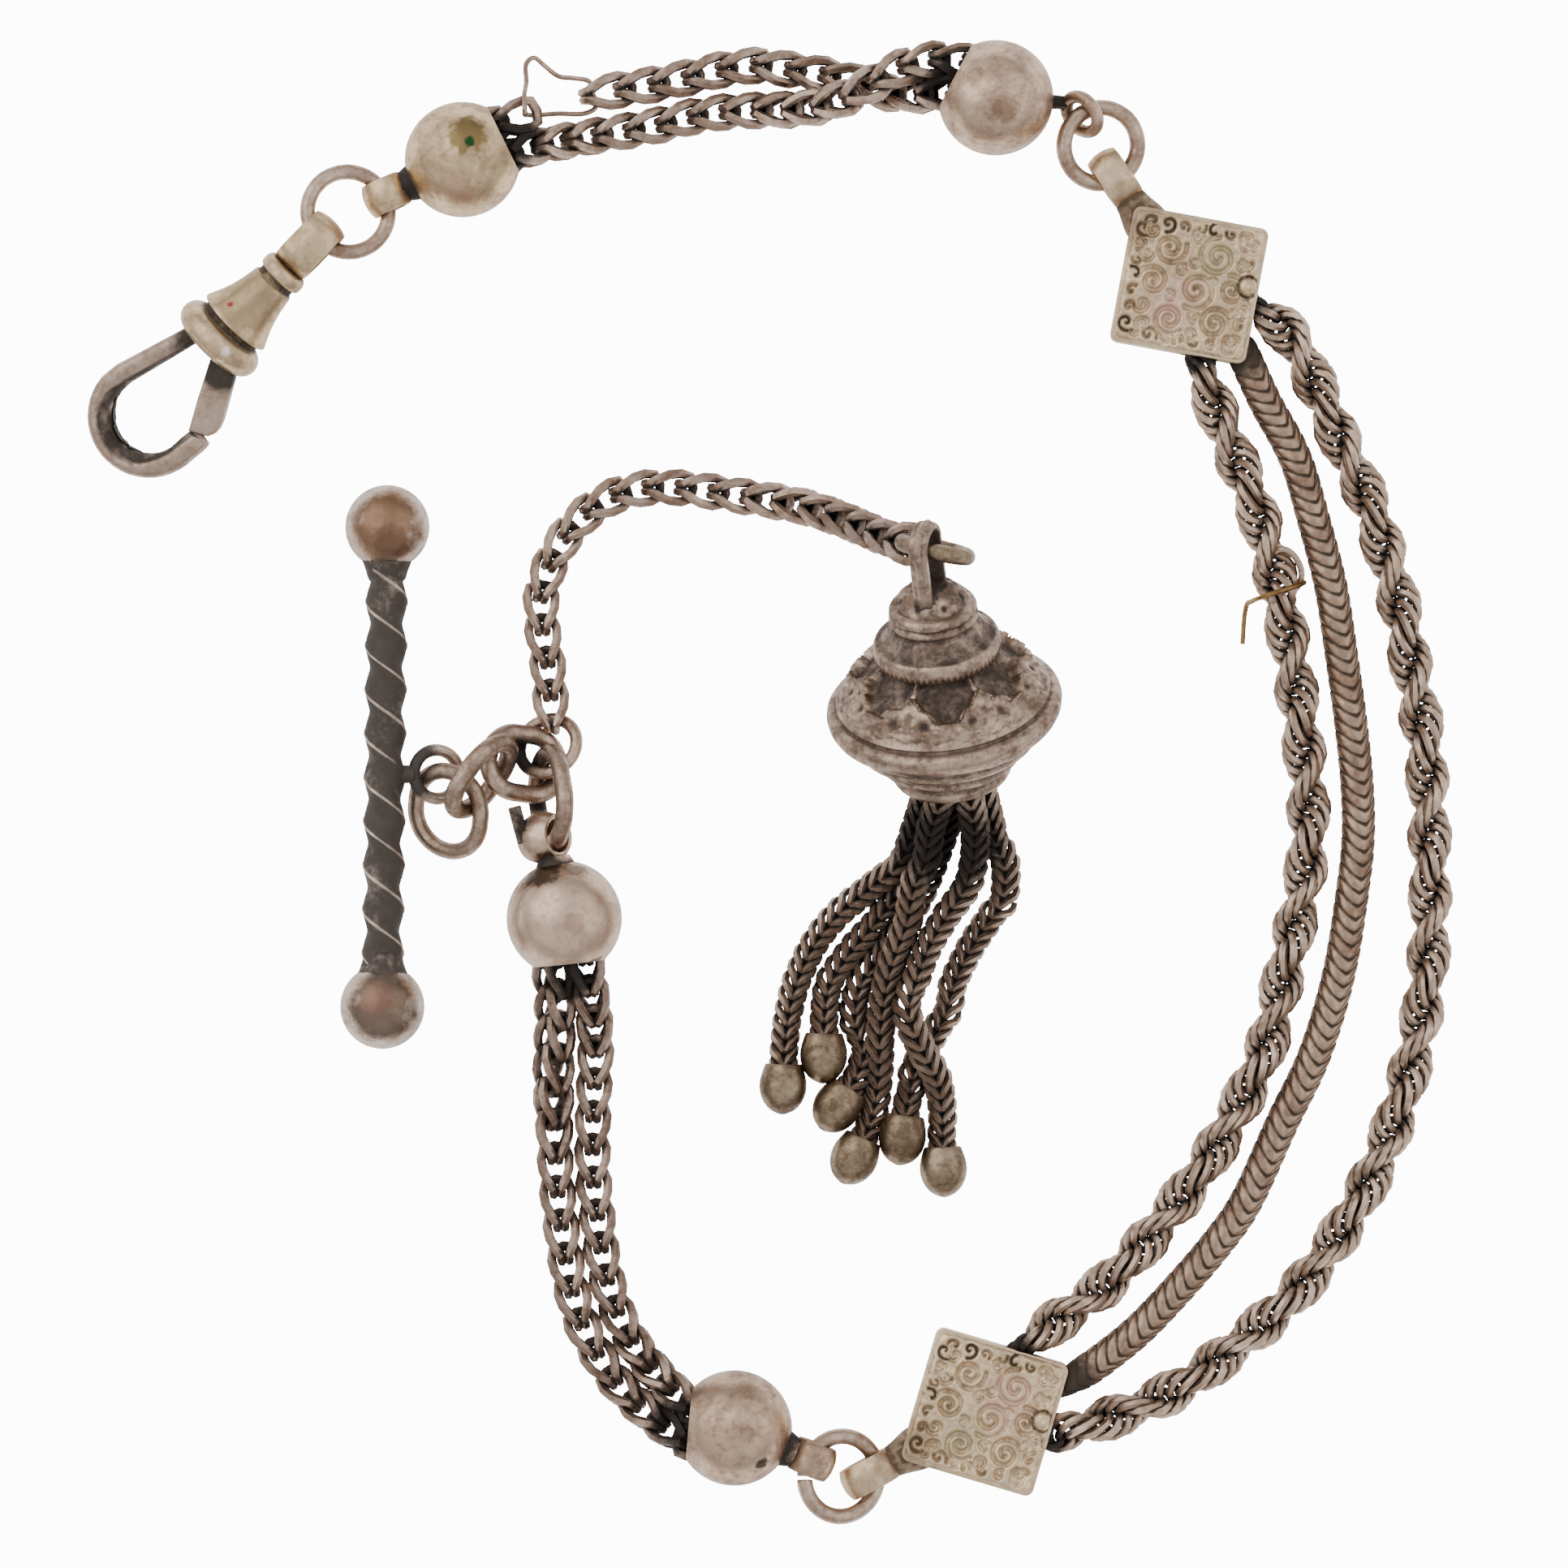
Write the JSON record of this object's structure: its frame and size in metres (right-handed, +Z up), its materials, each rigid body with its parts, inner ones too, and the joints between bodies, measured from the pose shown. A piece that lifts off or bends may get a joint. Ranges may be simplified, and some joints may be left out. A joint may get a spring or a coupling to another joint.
{
  "type": "albertina watch chain",
  "caption": "Silver watch chain laid in a loop, with hollow ball links, engraved square slides, rope and snake chains, swivelling dog clip, twisted T-bar and tassel.",
  "frame": {"origin": "on the ground under the middle of the laid-out chain's box", "axes": "+Z up from the ground, +Y up the picture from the lower strands to the upper ones, +X right from the clip to the slides"},
  "size_m": [0.0841, 0.0912, 0.0152],
  "materials": {
    "silver": "tarnished silver with a pinkish-brown tone",
    "pale_silver": "worn silver with a pale yellowish tone",
    "dark_silver": "dark tarnished silver with worn edges",
    "brass": "thin brass repair wire"
  },
  "bodies": {
    "chain": {"clip_eye": "pale_silver", "ring_clip": "silver", "ball_clip": "pale_silver", "strand_upper_a": "silver", "strand_upper_b": "silver", "strand_stub": "silver", "repair_wire": "silver", "ball_upper": "silver", "ring_upper": "silver", "slide_upper": "pale_silver", "rope_inner": "silver", "snake_middle": "silver", "rope_outer": "silver", "repair_binding": "brass", "slide_lower": "pale_silver", "ring_lower": "silver", "ball_lower": "silver", "strand_lower_c": "silver", "strand_lower_d": "silver", "ball_bar": "silver", "bar_link_1": "silver", "bar_link_2": "silver", "bar_link_3": "silver", "bar_link_4": "silver", "t_bar": "dark_silver", "pendant_ring": "silver", "pendant_chain": "silver", "tassel_ring": "silver", "tassel_cap": "silver", "tassel_strands": "silver", "tip_1": "pale_silver", "tip_2": "pale_silver", "tip_3": "pale_silver", "tip_4": "pale_silver", "tip_5": "pale_silver", "tip_6": "pale_silver"},
    "clip": {"clip_body": "pale_silver", "clip_hook": "silver", "clip_gate_pin": "silver"},
    "gate": {"clip_gate": "silver"}
  },
  "joints": [
    {"name": "clip_swivel", "type": "hinge", "parent": "chain", "child": "clip", "pos_m": [-0.0338, 0.0273, 0.00297], "axis": [0.6941, 0.6941, 0.1908], "continuous": true},
    {"name": "clip_gate", "type": "hinge", "parent": "clip", "child": "gate", "pos_m": [-0.03329, 0.0264, 0.00292], "axis": [0.1349, 0.1349, -0.9816], "range_deg": [0, 28], "stiffness_Nm_per_rad": 0.001, "springref_deg": -5.73}
  ]
}
